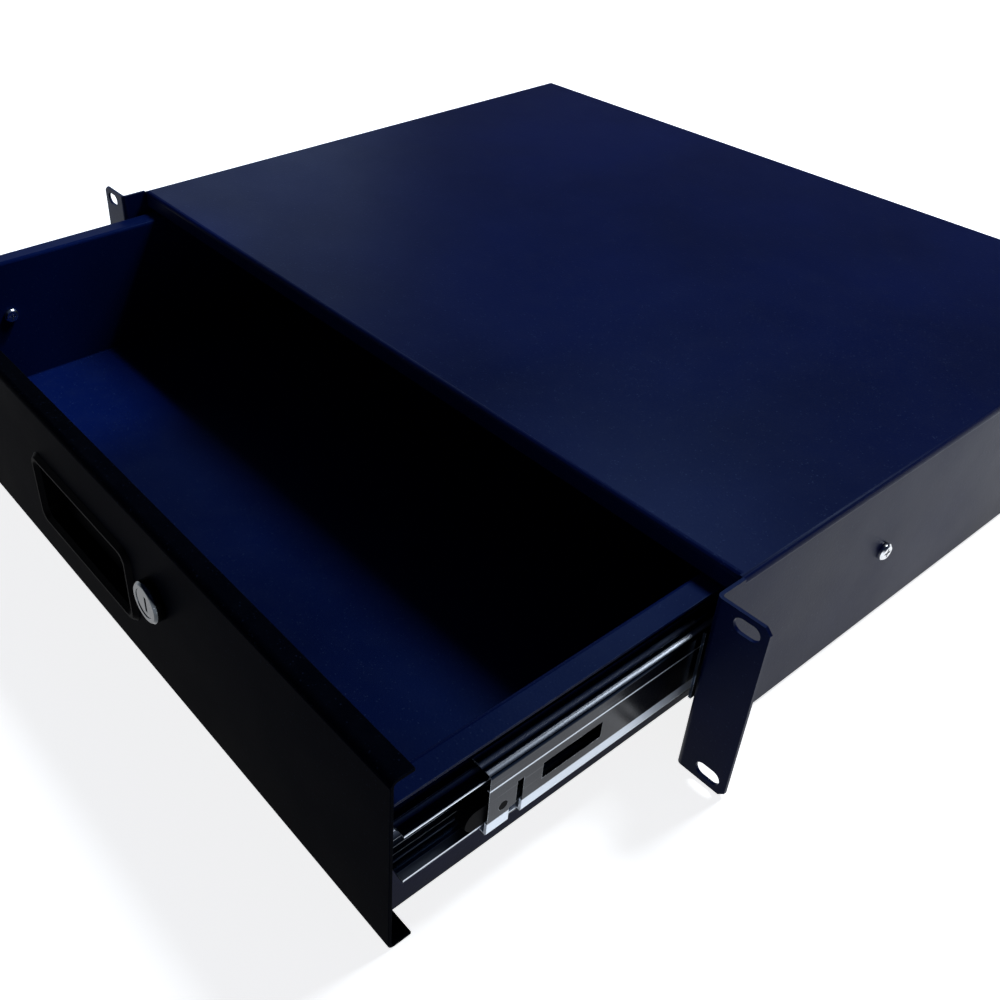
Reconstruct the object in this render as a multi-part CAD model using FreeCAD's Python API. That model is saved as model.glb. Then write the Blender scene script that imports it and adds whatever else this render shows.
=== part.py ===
import FreeCAD, Part
import math
import os
from FreeCAD import Vector

# Sliding rack drawer, two rack units high, on telescopic ball-bearing slides.
# Millimetres.  X runs to the right, Y runs from the front to the back and Z runs up.
# The origin is the middle of the four ear slots, on the front plane of the ears.
# The drawer stands pulled out by DRAWER_OUT.

# ---- rack opening and chassis ----
CHASSIS_WIDTH = 440.0
CHASSIS_HEIGHT = 88.1
EAR_WIDTH = 21.3
EAR_CHAMFER = 2.5
SLOT_FROM_EDGE = 8.75
SLOT_FROM_END = 5.95
SLOT_LENGTH = 11.0
SLOT_WIDTH = 6.8
CHASSIS_SHEET = 1.5
CHASSIS_BEND = 1.0
COVER_SETBACK = 15.0
COVER_LIP = 9.0
BOTTOM_FLANGE = 12.0
BOTTOM_FLANGE_SETBACK = 24.0
REAR_FLANGE = 10.0
CORNER_RELIEF = 3.0

# ---- slides ----
SLIDE_Z = 1.45
SLIDE_SHEET = 1.2
SLIDE_BEND = 0.8
BALL_RADIUS = 1.75
RACE_RADIUS = 1.80
RACE_HALF_ANGLE = 50.0
INNER_RACE_U = 4.0
DRAWER_MEMBER_HALF = 12.3
DRAWER_MEMBER_TIP = 9.0
RACE_SPACE = 0.065
TIP_FLAT = 0.65
MEMBER_GAP = 0.6
CAGE_GAP = 0.3
INNER_CAGE_SHEET = 0.4
OUTER_CAGE_SHEET = 0.5
CAGE_BEND = 0.4
CAGE_EDGE = 0.6
CAGE_SHORT_OF_END = 4.4
CAGE_BALLS = 3
CAGE_END = 6.0
SPACER_LENGTH = 3.5
SPACER_RADIUS = 5.0
SLIDE_FRONT = 6.0
MEMBER_LENGTH = 340.0
STAGE_OVERLAP = 165.0
MIDDLE_SETBACK = 6.0
CABINET_STOP_SETBACK = 15.0
CABINET_TONGUE = 14.0
REAR_CLEARANCE = 2.5
STOP_GAP = 0.3
STOP_THICK = 0.8
STOP_LENGTH = 2.7
STOP_HALF_WIDTH = 5.0
WINDOW_START = 25.0
WINDOW_LENGTH = 29.0
WINDOW_LOW = -4.5
WINDOW_HIGH = 3.5
NOTCH_START = 10.0
NOTCH_LENGTH = 6.0
NOTCH_TOP = -8.0
NOTCH_HOOK_LENGTH = 3.0
NOTCH_HOOK_TOP = 3.5
NOTCH_INNER_U = 9.2

# ---- positions along the travel ----
DRAWER_OUT = 138.0
MIDDLE_OUT = 110.0

# ---- bumpers and release levers ----
BUMPER_NOSE = 9.0
BUMPER_TAIL = 14.0
BUMPER_TOP = 0.5
BUMPER_BOTTOM = -9.0
BUMPER_INNER_U = 4.8
STUD_RADIUS = 2.0
REAR_BUMPER_HALF = 8.0
REAR_BUMPER_LENGTH = 3.7
LEVER_GAP = 0.4
LEVER_THICK = 2.6
LEVER_PIVOT_V = 2.5
LEVER_HALF_HEIGHT = 1.7
LEVER_FRONT_REACH = 66.0
LEVER_TAIL = 6.0
LEVER_BOSS_RADIUS = 4.0
TOOTH_REACH = 31.0
TOOTH_LENGTH = 4.5
TOOTH_OUTER_U = 7.5
TOOTH_BOTTOM = -1.5
TOOTH_PLAY = 0.5
RIVET_RADIUS = 2.0
PIVOT_PLAY = 0.05
RIVET_HEAD_RADIUS = 3.5
RIVET_HEAD = 0.9

# ---- screws ----
SCREW_RADIUS = 2.0
SCREW_PLAY = 0.15
SCREW_HEAD_RADIUS = 4.0
SCREW_HEAD = 2.6
SCREW_DOME = 0.9
CROSS_LENGTH = 4.4
CROSS_WIDTH = 0.9
CROSS_DEPTH = 1.5
SCREW_TIP_GAP = 0.1
CHASSIS_FRONT_SCREW = 121.0
CHASSIS_REAR_SCREW = 79.0
DRAWER_FRONT_SCREW = 52.0
DRAWER_REAR_SCREW = 70.0

# ---- drawer ----
TRAY_SHEET = 1.2
TRAY_BEND = 1.0
TRAY_LIP_BELOW_PANEL = 10.8
TRAY_BEHIND_MEMBER = 0.5
WELD_TAB = 11.0
WELD_TAB_MARGIN = 8.0
BACK_FLANGE = 10.0
PANEL_SHEET = 1.5
PANEL_BEND = 1.5
PANEL_SIDE_GAP = 9.2
PANEL_TOP_GAP = 0.1
PANEL_BOTTOM_GAP = 0.2
PANEL_TOP_FLANGE = 9.5
PANEL_BOTTOM_FLANGE = 10.0

# ---- handle cup ----
CUP_X = -1.0
CUP_Z = -2.05
CUP_WIDTH = 92.5
CUP_HEIGHT = 40.0
CUP_CORNER = 6.5
CUP_PROUD = 2.2
CUP_SLOPE = 2.1
CUP_CREST = 0.9
CUP_BODY_INSET = 3.55
CUP_PLAY = 0.3
CUP_WALL = 1.7
CUP_DEPTH = 16.0
CUP_RAMP_RISE = 13.0
CUP_RAMP_DEPTH = 6.5
HOOK_LENGTH = 12.0
HOOK_SPREAD = 25.0
HOOK_OUT = 1.0
HOOK_RUN = 3.0
HOOK_PLAY = 0.3

# ---- cam lock ----
LOCK_X = 63.2
LOCK_Z = 7.05
LOCK_HEAD_RADIUS = 9.25
LOCK_HEAD_PROUD = 4.8
LOCK_HEAD_EDGE = 1.0
LOCK_BODY_RADIUS = 8.0
LOCK_BODY_HALF_FLAT = 7.1
LOCK_HOLE_PLAY = 0.1
PLUG_RADIUS = 5.25
PLUG_PLAY = 0.05
PLUG_COLLAR_RADIUS = 6.4
PLUG_COLLAR = 0.9
PLUG_RECESS = 0.3
KEYWAY_WIDTH = 1.5
KEYWAY_HEIGHT = 7.4
KEYWAY_OFFSET = 0.9
KEYWAY_DEPTH = 12.0
NUT_ACROSS_FLATS = 20.0
NUT_THICK = 3.0
CAM_THICK = 2.0
CAM_HUB_RADIUS = 6.5
CAM_TIP_RADIUS = 4.5
CAM_SQUARE = 6.0
CAM_END_PLAY = 0.2
CAM_BEHIND_LIP = 1.7
CAM_BELOW_COVER = 2.5
CAM_SCREW_RADIUS = 1.5
CAM_SCREW_LENGTH = 8.0
CAM_SCREW_HEAD_RADIUS = 4.4
CAM_SCREW_HEAD = 2.2

# ---- derived levels ----
EPS = 0.05
FAR = 1000.0
BOTTOM_Z = -CHASSIS_HEIGHT / 2
TOP_Z = CHASSIS_HEIGHT / 2
HALF_WIDTH = CHASSIS_WIDTH / 2
INNER_WALL_X = HALF_WIDTH - CHASSIS_SHEET
EAR_SPAN = CHASSIS_WIDTH + 2 * EAR_WIDTH
SLOT_SPACING_X = EAR_SPAN - 2 * SLOT_FROM_EDGE
SLOT_SPACING_Z = CHASSIS_HEIGHT - 2 * SLOT_FROM_END
PANEL_WIDTH = CHASSIS_WIDTH - 2 * PANEL_SIDE_GAP
CABINET_MEMBER_LENGTH = MIDDLE_SETBACK + MEMBER_LENGTH + STOP_GAP + REAR_BUMPER_LENGTH
CHASSIS_DEPTH = SLIDE_FRONT + CABINET_MEMBER_LENGTH + REAR_CLEARANCE + CHASSIS_SHEET
STAGE_TRAVEL = MEMBER_LENGTH - STAGE_OVERLAP
CHASSIS_SCREW_Y = (CHASSIS_FRONT_SCREW, CHASSIS_DEPTH - CHASSIS_REAR_SCREW)
DRAWER_SCREW_Y = (DRAWER_FRONT_SCREW, SLIDE_FRONT + MEMBER_LENGTH - DRAWER_REAR_SCREW)
FACE_Y = -DRAWER_OUT
PANEL_BACK_Y = FACE_Y + PANEL_SHEET
PANEL_TOP_Z = TOP_Z - PANEL_TOP_GAP
PANEL_BOTTOM_Z = BOTTOM_Z + PANEL_BOTTOM_GAP
FLOOR_UNDER_Z = PANEL_BOTTOM_Z + PANEL_SHEET
LIP_TOP_Z = PANEL_TOP_Z - TRAY_LIP_BELOW_PANEL
TRAY_BACK_Y = FACE_Y + SLIDE_FRONT + MEMBER_LENGTH + TRAY_BEHIND_MEMBER

# ---- derived slide sections, u outward from the drawer wall and v up from the slide centre ----
RACE_RISE = RACE_RADIUS * math.cos(math.radians(RACE_HALF_ANGLE))
RACE_HALF_WIDTH = RACE_RADIUS * math.sin(math.radians(RACE_HALF_ANGLE))
BULGE_RADIUS = RACE_RADIUS + SLIDE_SHEET
BULGE_HALF_WIDTH = math.sqrt(BULGE_RADIUS ** 2 - (RACE_RISE + SLIDE_SHEET) ** 2)
INNER_RACE_V = DRAWER_MEMBER_HALF + RACE_RISE
MIDDLE_HALF = INNER_RACE_V + RACE_RISE + SLIDE_SHEET
OUTER_RACE_U = INNER_RACE_U + BULGE_HALF_WIDTH + RACE_HALF_WIDTH + RACE_SPACE
OUTER_RACE_V = MIDDLE_HALF + RACE_RISE
CABINET_HALF = OUTER_RACE_V + RACE_RISE + SLIDE_SHEET
INNER_CAGE_BACK = DRAWER_MEMBER_TIP + CAGE_GAP + INNER_CAGE_SHEET
MIDDLE_WEB_IN = INNER_CAGE_BACK + CAGE_GAP
MIDDLE_WEB_OUT = MIDDLE_WEB_IN + SLIDE_SHEET
OUTER_CAGE_BACK = MIDDLE_WEB_OUT + CAGE_GAP + OUTER_CAGE_SHEET
CABINET_WEB_IN = OUTER_CAGE_BACK + CAGE_GAP
SLIDE_DEPTH = CABINET_WEB_IN + SLIDE_SHEET
MIDDLE_TIP = SLIDE_SHEET + MEMBER_GAP
CABINET_TIP = OUTER_RACE_U - BULGE_HALF_WIDTH - TIP_FLAT
INNER_CAGE_TIP = INNER_RACE_U - RACE_RADIUS - CAGE_EDGE
OUTER_CAGE_TIP = OUTER_RACE_U - RACE_RADIUS - CAGE_EDGE
WALL_X = INNER_WALL_X - SPACER_LENGTH - SLIDE_DEPTH

# ---- derived positions along the slides ----
CABINET_FRONT_Y = SLIDE_FRONT
MIDDLE_FRONT_Y = SLIDE_FRONT + MIDDLE_SETBACK - MIDDLE_OUT
DRAWER_MEMBER_FRONT_Y = FACE_Y + SLIDE_FRONT
MIDDLE_STOP_START = MEMBER_LENGTH - STOP_LENGTH
OUTER_CAGE_FULL_END = MIDDLE_SETBACK + MIDDLE_STOP_START - STAGE_TRAVEL - STOP_GAP
OUTER_CAGE_FULL_START = CABINET_STOP_SETBACK + STOP_LENGTH + STOP_GAP
OUTER_CAGE_LENGTH = OUTER_CAGE_FULL_END - OUTER_CAGE_FULL_START
OUTER_CAGE_Y = CABINET_FRONT_Y + OUTER_CAGE_FULL_START + (STAGE_TRAVEL - MIDDLE_OUT) / 2
INNER_CAGE_FULL_START = BUMPER_TAIL + 2 * STOP_GAP
INNER_CAGE_FULL_END = MEMBER_LENGTH - MIDDLE_SETBACK - STAGE_TRAVEL - CAGE_SHORT_OF_END
INNER_CAGE_LENGTH = INNER_CAGE_FULL_END - INNER_CAGE_FULL_START
INNER_OUT = DRAWER_OUT - MIDDLE_OUT
INNER_CAGE_Y = MIDDLE_FRONT_Y + INNER_CAGE_FULL_START + (STAGE_TRAVEL - INNER_OUT) / 2
TOOTH_START = BUMPER_TAIL + MIDDLE_SETBACK + STAGE_TRAVEL + TOOTH_PLAY
LEVER_PIVOT = TOOTH_START + TOOTH_LENGTH + TOOTH_REACH
LEVER_INNER_U = SLIDE_SHEET + LEVER_GAP
LEVER_OUTER_U = LEVER_INNER_U + LEVER_THICK
REAR_BUMPER_START = CABINET_MEMBER_LENGTH - REAR_BUMPER_LENGTH

# ---- derived lock positions ----
CAM_Y = FACE_Y + COVER_SETBACK + CHASSIS_SHEET + CAM_BEHIND_LIP
CAM_REACH = TOP_Z - CHASSIS_SHEET - CAM_BELOW_COVER - LOCK_Z
LOCK_FRONT_Y = FACE_Y - LOCK_HEAD_PROUD
PLUG_FRONT_Y = LOCK_FRONT_Y + PLUG_RECESS

# Each plane's normal and the turn that carries a flat XY drawing onto it.
PLANES = {
    "xz": (Vector(0, 1, 0), FreeCAD.Matrix(1, 0, 0, 0, 0, 0, -1, 0, 0, 1, 0, 0, 0, 0, 0, 1)),
    "yz": (Vector(1, 0, 0), FreeCAD.Matrix(0, 0, 1, 0, 1, 0, 0, 0, 0, 1, 0, 0, 0, 0, 0, 1)),
    "xy": (Vector(0, 0, 1), FreeCAD.Matrix()),
}


def outline(points, radii):
    """Closed flat wire in the XY plane with a bend radius at each corner."""
    count = len(points)
    corners = []
    for index in range(count):
        here = points[index]
        radius = radii[index]
        if radius <= 0:
            corners.append((here, None, here))
            continue
        back = (points[index - 1] - here).normalize()
        ahead = (points[(index + 1) % count] - here).normalize()
        half = back.getAngle(ahead) / 2
        middle = (back + ahead).normalize()
        reach = radius / math.tan(half)
        apex = here + middle * (radius / math.sin(half) - radius)
        corners.append((here + back * reach, apex, here + ahead * reach))
    edges = []
    for index in range(count):
        start, apex, end = corners[index]
        if apex is not None:
            edges.append(Part.Arc(start, apex, end).toShape())
        following = corners[(index + 1) % count][0]
        if (following - end).Length > 1e-6:
            edges.append(Part.LineSegment(end, following).toShape())
    return Part.Wire(edges)


def prism(wire, plane, start, end):
    """Extrude a flat wire drawn in the XY plane between two levels of the plane's normal."""
    normal, turn = PLANES[plane]
    placed = wire.copy()
    placed.Placement = FreeCAD.Placement(turn)
    placed.translate(normal * start)
    return Part.Face(placed).extrude(normal * (end - start))


def flat(points):
    return [Vector(first, second, 0) for first, second in points]


def sheet_outline(path, sheet, bend, side):
    """Section of bent sheet: path is one face and the sheet lies on its left (1) or right (-1)."""
    points = flat(path)
    last = len(points) - 1
    normals = []
    for index in range(last):
        run = (points[index + 1] - points[index]).normalize()
        normals.append(Vector(-run.y, run.x, 0) * side)
    offset = []
    near_radii = []
    far_radii = []
    for index, point in enumerate(points):
        if index == 0:
            offset.append(point + normals[0] * sheet)
        elif index == last:
            offset.append(point + normals[-1] * sheet)
        else:
            before = normals[index - 1]
            after = normals[index]
            scale = sheet / (1 + before.dot(after))
            offset.append(point + (before + after) * scale)
        if index in (0, last):
            near_radii.append(0.0)
            far_radii.append(0.0)
            continue
        turn = (points[index] - points[index - 1]).cross(points[index + 1] - points[index]).z * side
        near_radii.append(bend + sheet if turn > 0 else bend)
        far_radii.append(bend if turn > 0 else bend + sheet)
    loop = points + offset[::-1]
    radii = near_radii + far_radii[::-1]
    return outline(loop, radii)


def folded(path, sheet, bend, side, plane, start, end):
    return prism(sheet_outline(path, sheet, bend, side), plane, start, end)


def block(x0, x1, y0, y1, z0, z1):
    return Part.makeBox(x1 - x0, y1 - y0, z1 - z0, Vector(x0, y0, z0))


def rod_x(radius, x0, x1, y, z):
    return Part.makeCylinder(radius, x1 - x0, Vector(x0, y, z), Vector(1, 0, 0))


def rod_y(radius, y0, y1, x, z):
    return Part.makeCylinder(radius, y1 - y0, Vector(x, y0, z), Vector(0, 1, 0))


def rod_z(radius, z0, z1, x, y):
    return Part.makeCylinder(radius, z1 - z0, Vector(x, y, z0), Vector(0, 0, 1))


def rounded_rectangle(width, height, radius, x, y):
    corners = [(x - width / 2, y - height / 2), (x + width / 2, y - height / 2),
               (x + width / 2, y + height / 2), (x - width / 2, y + height / 2)]
    return outline(flat(corners), [radius] * 4)


def mirrored(shape):
    return shape.mirror(Vector(0, 0, 0), Vector(1, 0, 0))


def save(name, *solids):
    shape = solids[0] if len(solids) == 1 else Part.makeCompound(list(solids))
    shape.exportStep("parts/" + name + ".step")


def save_pair(name, shape):
    shape.exportStep("parts/" + name + "_right.step")
    mirrored(shape).exportStep("parts/" + name + "_left.step")


# ---- chassis ----
def ear():
    """Right-hand side wall in front of the cover, turned out into the slotted rack ear."""
    path = [(HALF_WIDTH, COVER_SETBACK), (HALF_WIDTH, CHASSIS_SHEET), (EAR_SPAN / 2, CHASSIS_SHEET)]
    shape = folded(path, CHASSIS_SHEET, CHASSIS_BEND, -1, "xy", BOTTOM_Z, TOP_Z)
    for level in (-SLOT_SPACING_Z / 2, SLOT_SPACING_Z / 2):
        reach = (SLOT_LENGTH - SLOT_WIDTH) / 2
        middle = SLOT_SPACING_X / 2
        slot = block(middle - reach, middle + reach, -EPS, CHASSIS_SHEET + EPS,
                     level - SLOT_WIDTH / 2, level + SLOT_WIDTH / 2)
        for end in (middle - reach, middle + reach):
            slot = slot.fuse(rod_y(SLOT_WIDTH / 2, -EPS, CHASSIS_SHEET + EPS, end, level))
        shape = shape.cut(slot)
    for level, away in ((BOTTOM_Z, 1), (TOP_Z, -1)):
        edge = EAR_SPAN / 2
        corner = flat([(edge, level), (edge - EAR_CHAMFER, level), (edge, level + away * EAR_CHAMFER)])
        shape = shape.cut(prism(outline(corner, [0.0] * 3), "xz", -EPS, CHASSIS_SHEET + EPS))
    return shape


def chassis_shell():
    """Cover and side walls in one fold, with inward bottom flanges and the two rack ears."""
    inner = HALF_WIDTH - BOTTOM_FLANGE
    path = [(-inner, BOTTOM_Z), (-HALF_WIDTH, BOTTOM_Z), (-HALF_WIDTH, TOP_Z), (HALF_WIDTH, TOP_Z),
            (HALF_WIDTH, BOTTOM_Z), (inner, BOTTOM_Z)]
    shape = folded(path, CHASSIS_SHEET, CHASSIS_BEND, -1, "xz", COVER_SETBACK, CHASSIS_DEPTH)
    fold_x = HALF_WIDTH - CORNER_RELIEF
    shape = shape.cut(block(-fold_x, fold_x, COVER_SETBACK - EPS, COVER_SETBACK + CORNER_RELIEF,
                            TOP_Z - CHASSIS_SHEET - EPS, TOP_Z + EPS))
    lip = [(COVER_SETBACK + CORNER_RELIEF, TOP_Z), (COVER_SETBACK, TOP_Z), (COVER_SETBACK, TOP_Z - COVER_LIP)]
    shape = shape.fuse(folded(lip, CHASSIS_SHEET, CHASSIS_BEND, 1, "yz", -fold_x, fold_x))
    right = ear()
    shape = shape.fuse([right, mirrored(right)]).removeSplitter()
    for x0, x1 in ((-fold_x, EPS - inner), (inner - EPS, fold_x)):
        shape = shape.cut(block(x0, x1, COVER_SETBACK - EPS, BOTTOM_FLANGE_SETBACK,
                                BOTTOM_Z - EPS, BOTTOM_Z + CHASSIS_SHEET + EPS))
    holes = []
    for y in CHASSIS_SCREW_Y:
        for x in (-HALF_WIDTH - EPS, INNER_WALL_X - EPS):
            holes.append(rod_x(SCREW_RADIUS + SCREW_PLAY, x, x + CHASSIS_SHEET + 2 * EPS, y, SLIDE_Z))
    return shape.cut(holes)


def folded_end(half, z0, z1, face_y, flange, sheet, bend):
    """Upright plate with four flanges turned forward and its corners relieved."""
    front = face_y - flange
    upright = [(front, z1), (face_y, z1), (face_y, z0), (front, z0)]
    level = [(-half, front), (-half, face_y), (half, face_y), (half, front)]
    shape = folded(upright, sheet, bend, -1, "yz", -half + CORNER_RELIEF, half - CORNER_RELIEF)
    sides = folded(level, sheet, bend, -1, "xy", z0 + CORNER_RELIEF, z1 - CORNER_RELIEF)
    return shape.fuse(sides).removeSplitter()


# ---- slides, drawn for the right-hand side ----
def channel(tip, back, half, sheet, bend, start, length):
    """C section with its web at back and its two flanges reaching to tip."""
    side = -1 if back > tip else 1
    path = [(WALL_X + tip, SLIDE_Z + half), (WALL_X + back, SLIDE_Z + half),
            (WALL_X + back, SLIDE_Z - half), (WALL_X + tip, SLIDE_Z - half)]
    return folded(path, sheet, bend, side, "xz", start, start + length)


def add_race(shape, u, v, half, ball_outside, start, length):
    """Press a ball race of full depth into both flanges of a member."""
    for sign in (-1, 1):
        x = WALL_X + u
        z = SLIDE_Z + sign * v
        bulge = rod_y(BULGE_RADIUS, start, start + length, x, z)
        near = SLIDE_Z + sign * (half - SLIDE_SHEET + EPS if ball_outside else half - EPS)
        away = near - sign * BULGE_RADIUS if ball_outside else near + sign * BULGE_RADIUS
        keep = block(x - BULGE_RADIUS, x + BULGE_RADIUS, start, start + length, min(near, away), max(near, away))
        shape = shape.fuse(bulge.common(keep))
        shape = shape.cut(rod_y(RACE_RADIUS, start - EPS, start + length + EPS, x, z))
    return shape.removeSplitter()


def cabinet_member():
    start = CABINET_FRONT_Y
    shape = channel(CABINET_TIP, SLIDE_DEPTH, CABINET_HALF, SLIDE_SHEET, SLIDE_BEND, start, CABINET_MEMBER_LENGTH)
    shape = add_race(shape, OUTER_RACE_U, OUTER_RACE_V, CABINET_HALF, False, start, CABINET_MEMBER_LENGTH)
    web = WALL_X + CABINET_WEB_IN
    for y in CHASSIS_SCREW_Y:
        shape = shape.cut(rod_x(SCREW_RADIUS, web - EPS, web + SLIDE_SHEET + EPS, y, SLIDE_Z))
    stud_y = (start + REAR_BUMPER_START + start + CABINET_MEMBER_LENGTH) / 2
    shape = shape.cut(rod_x(STUD_RADIUS / 2, web - EPS, web + SLIDE_SHEET + EPS, stud_y, SLIDE_Z))
    stop = start + CABINET_STOP_SETBACK
    tab = block(web - STOP_THICK, web + EPS, stop, stop + STOP_LENGTH,
                SLIDE_Z - STOP_HALF_WIDTH, SLIDE_Z + STOP_HALF_WIDTH)
    opening = block(web - EPS, web + SLIDE_SHEET + EPS, stop - 2 * STOP_LENGTH, stop,
                    SLIDE_Z - STOP_HALF_WIDTH, SLIDE_Z + STOP_HALF_WIDTH)
    shape = shape.fuse(tab).cut(opening)
    flat_half = CABINET_HALF - SLIDE_SHEET - SLIDE_BEND
    for z0, z1 in ((flat_half, CABINET_HALF + EPS), (-CABINET_HALF - EPS, -flat_half)):
        shape = shape.cut(block(WALL_X + CABINET_TIP - EPS, WALL_X + SLIDE_DEPTH + EPS, start - EPS,
                                start + CABINET_TONGUE, SLIDE_Z + z0, SLIDE_Z + z1))
    return shape


def middle_member():
    start = MIDDLE_FRONT_Y
    length = MEMBER_LENGTH
    shape = channel(MIDDLE_TIP, MIDDLE_WEB_OUT, MIDDLE_HALF, SLIDE_SHEET, SLIDE_BEND, start, length)
    shape = add_race(shape, INNER_RACE_U, INNER_RACE_V, MIDDLE_HALF, False, start, length)
    shape = add_race(shape, OUTER_RACE_U, OUTER_RACE_V, MIDDLE_HALF, True, start, length)
    web = WALL_X + MIDDLE_WEB_IN
    through = (web - EPS, web + SLIDE_SHEET + EPS)
    for first in (WINDOW_START, length - WINDOW_START - WINDOW_LENGTH):
        shape = shape.cut(block(*through, start + first, start + first + WINDOW_LENGTH,
                                SLIDE_Z + WINDOW_LOW, SLIDE_Z + WINDOW_HIGH))
    notch = block(WALL_X + NOTCH_INNER_U, web + SLIDE_SHEET + EPS, start + NOTCH_START,
                  start + NOTCH_START + NOTCH_LENGTH, SLIDE_Z - MIDDLE_HALF - EPS, SLIDE_Z + NOTCH_TOP)
    hook_end = start + NOTCH_START + NOTCH_LENGTH
    hook = block(*through, hook_end - NOTCH_HOOK_LENGTH, hook_end, SLIDE_Z + NOTCH_TOP - EPS,
                 SLIDE_Z + NOTCH_HOOK_TOP)
    shape = shape.cut([notch, hook])
    stud_z = SLIDE_Z + (BUMPER_TOP + BUMPER_BOTTOM) / 2
    shape = shape.cut(rod_x(STUD_RADIUS, *through, start + BUMPER_TAIL / 2, stud_z))
    stop = start + MIDDLE_STOP_START
    outer = WALL_X + MIDDLE_WEB_OUT
    tab = block(outer - EPS, outer + STOP_THICK, stop, stop + STOP_LENGTH,
                SLIDE_Z - STOP_HALF_WIDTH, SLIDE_Z + STOP_HALF_WIDTH)
    return shape.fuse(tab).removeSplitter()


def drawer_member():
    start = DRAWER_MEMBER_FRONT_Y
    length = MEMBER_LENGTH
    shape = channel(DRAWER_MEMBER_TIP, 0.0, DRAWER_MEMBER_HALF, SLIDE_SHEET, SLIDE_BEND, start, length)
    shape = add_race(shape, INNER_RACE_U, INNER_RACE_V, DRAWER_MEMBER_HALF, True, start, length)
    through = (WALL_X - EPS, WALL_X + SLIDE_SHEET + EPS)
    for y in DRAWER_SCREW_Y:
        shape = shape.cut(rod_x(SCREW_RADIUS, *through, FACE_Y + y, SLIDE_Z))
    return shape.cut(rod_x(RIVET_RADIUS, *through, start + LEVER_PIVOT, SLIDE_Z + LEVER_PIVOT_V))


def cage(tip, back, race_v, sheet, race_u, start, length):
    """Thin U-shaped ball cage with a hole for every ball."""
    shape = channel(tip, back, race_v + sheet / 2, sheet, CAGE_BEND, start, length)
    holes = []
    for y in ball_row(start, length):
        holes.append(rod_z(RACE_RADIUS, SLIDE_Z - race_v - sheet, SLIDE_Z - race_v + sheet, WALL_X + race_u, y))
        holes.append(rod_z(RACE_RADIUS, SLIDE_Z + race_v - sheet, SLIDE_Z + race_v + sheet, WALL_X + race_u, y))
    return shape.cut(holes)


def ball_row(start, length):
    pitch = (length - 2 * CAGE_END) / (CAGE_BALLS - 1)
    return [start + CAGE_END + index * pitch for index in range(CAGE_BALLS)]


def balls(race_u, race_v, start, length):
    spheres = []
    for y in ball_row(start, length):
        for sign in (-1, 1):
            spheres.append(Part.makeSphere(BALL_RADIUS, Vector(WALL_X + race_u, y, SLIDE_Z + sign * race_v)))
    return Part.makeCompound(spheres)


def front_bumper():
    """Moulded nose in the front end of the middle member, held by a stud in its web."""
    start = MIDDLE_FRONT_Y
    half = (BUMPER_TOP - BUMPER_BOTTOM) / 2
    middle = SLIDE_Z + (BUMPER_TOP + BUMPER_BOTTOM) / 2
    inner = WALL_X + BUMPER_INNER_U
    outer = WALL_X + MIDDLE_WEB_IN
    shape = block(inner, outer, start - BUMPER_NOSE + half, start + BUMPER_TAIL, middle - half, middle + half)
    shape = shape.fuse(rod_x(half, inner, outer, start - BUMPER_NOSE + half, middle))
    stud = rod_x(STUD_RADIUS, outer - EPS, outer + SLIDE_SHEET, start + BUMPER_TAIL / 2, middle)
    return shape.fuse(stud).removeSplitter()


def rear_bumper():
    """Moulded block that closes the rear end of the cabinet member."""
    start = CABINET_FRONT_Y + REAR_BUMPER_START
    end = CABINET_FRONT_Y + CABINET_MEMBER_LENGTH
    web = WALL_X + CABINET_WEB_IN
    shape = block(WALL_X + CABINET_TIP, web, start, end, SLIDE_Z - REAR_BUMPER_HALF, SLIDE_Z + REAR_BUMPER_HALF)
    stud = rod_x(STUD_RADIUS / 2, web - EPS, web + SLIDE_SHEET, (start + end) / 2, SLIDE_Z)
    return shape.fuse(stud).removeSplitter()


def release_lever():
    """Sprung lever on the drawer member whose tooth meets the front bumper at full travel."""
    start = DRAWER_MEMBER_FRONT_Y
    pivot_y = start + LEVER_PIVOT
    pivot_z = SLIDE_Z + LEVER_PIVOT_V
    inner = WALL_X + LEVER_INNER_U
    outer = WALL_X + LEVER_OUTER_U
    arm = block(inner, outer, pivot_y - LEVER_FRONT_REACH, pivot_y, pivot_z - LEVER_HALF_HEIGHT,
                pivot_z + LEVER_HALF_HEIGHT)
    boss = rod_x(LEVER_BOSS_RADIUS, inner, outer, pivot_y, pivot_z)
    tooth_y = start + TOOTH_START
    tooth = block(inner, WALL_X + TOOTH_OUTER_U, tooth_y, tooth_y + TOOTH_LENGTH, SLIDE_Z + TOOTH_BOTTOM,
                  pivot_z + LEVER_HALF_HEIGHT)
    tail = block(inner, outer, pivot_y, pivot_y + LEVER_TAIL, pivot_z - LEVER_HALF_HEIGHT, pivot_z)
    pad_y = pivot_y - LEVER_FRONT_REACH
    pad = block(inner, WALL_X + TOOTH_OUTER_U, pad_y, pad_y + TOOTH_LENGTH, pivot_z - LEVER_HALF_HEIGHT,
                pivot_z + LEVER_HALF_HEIGHT)
    shape = arm.fuse([boss, tooth, tail, pad]).removeSplitter()
    return shape.cut(rod_x(RIVET_RADIUS + PIVOT_PLAY, inner - EPS, outer + EPS, pivot_y, pivot_z))


def lever_rivet():
    y = DRAWER_MEMBER_FRONT_Y + LEVER_PIVOT
    z = SLIDE_Z + LEVER_PIVOT_V
    shoulder = WALL_X + LEVER_OUTER_U + CAGE_GAP
    head = rod_x(RIVET_HEAD_RADIUS, shoulder, shoulder + RIVET_HEAD, y, z)
    return rod_x(RIVET_RADIUS, WALL_X, shoulder + EPS, y, z).fuse(head).removeSplitter()


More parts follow.
